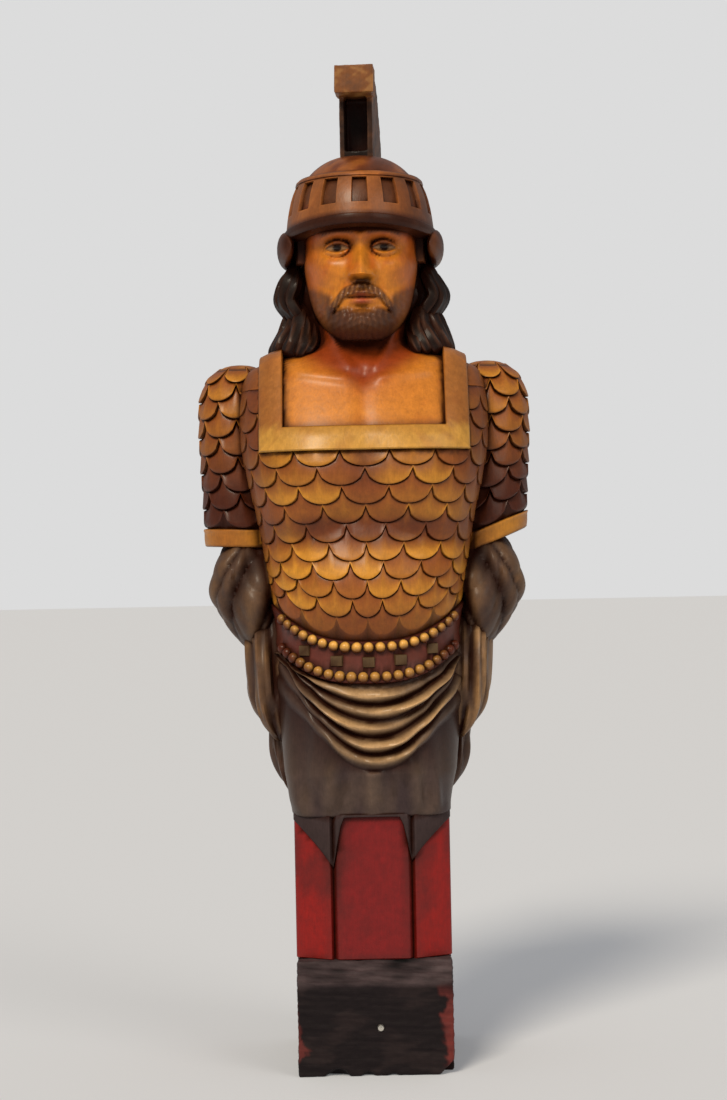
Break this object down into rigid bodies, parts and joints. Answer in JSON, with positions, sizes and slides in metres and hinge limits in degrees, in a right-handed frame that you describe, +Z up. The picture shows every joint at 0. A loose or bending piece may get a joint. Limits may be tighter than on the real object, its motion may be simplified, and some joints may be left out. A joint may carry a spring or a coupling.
{
  "type": "ship figurehead",
  "caption": "Carved and painted wooden ship figurehead: a bearded warrior in a crested helmet and scaled cuirass, rising from a squared stem on a foot block.",
  "frame": {"origin": "centre of the foot block's underside", "axes": "+Z up along the figure, -Y the way the figure faces, +Y the flat back against the bow, +X the viewer's right"},
  "size_m": [0.4992, 0.3306, 1.45],
  "materials": {
    "painted_wood": "carved pine under aged ochre, umber, dark cloth and red paint with a worn varnish",
    "brown_wood": "carved board under dark brown paint and varnish",
    "black_wood": "weathered boards under black paint, worn to grey on the ledge",
    "nail_steel": "bright worn nail head"
  },
  "bodies": {
    "root": {"foot_block": "black_wood", "figure": "painted_wood", "crest": "brown_wood", "foot_nail": "nail_steel"}
  },
  "joints": []
}
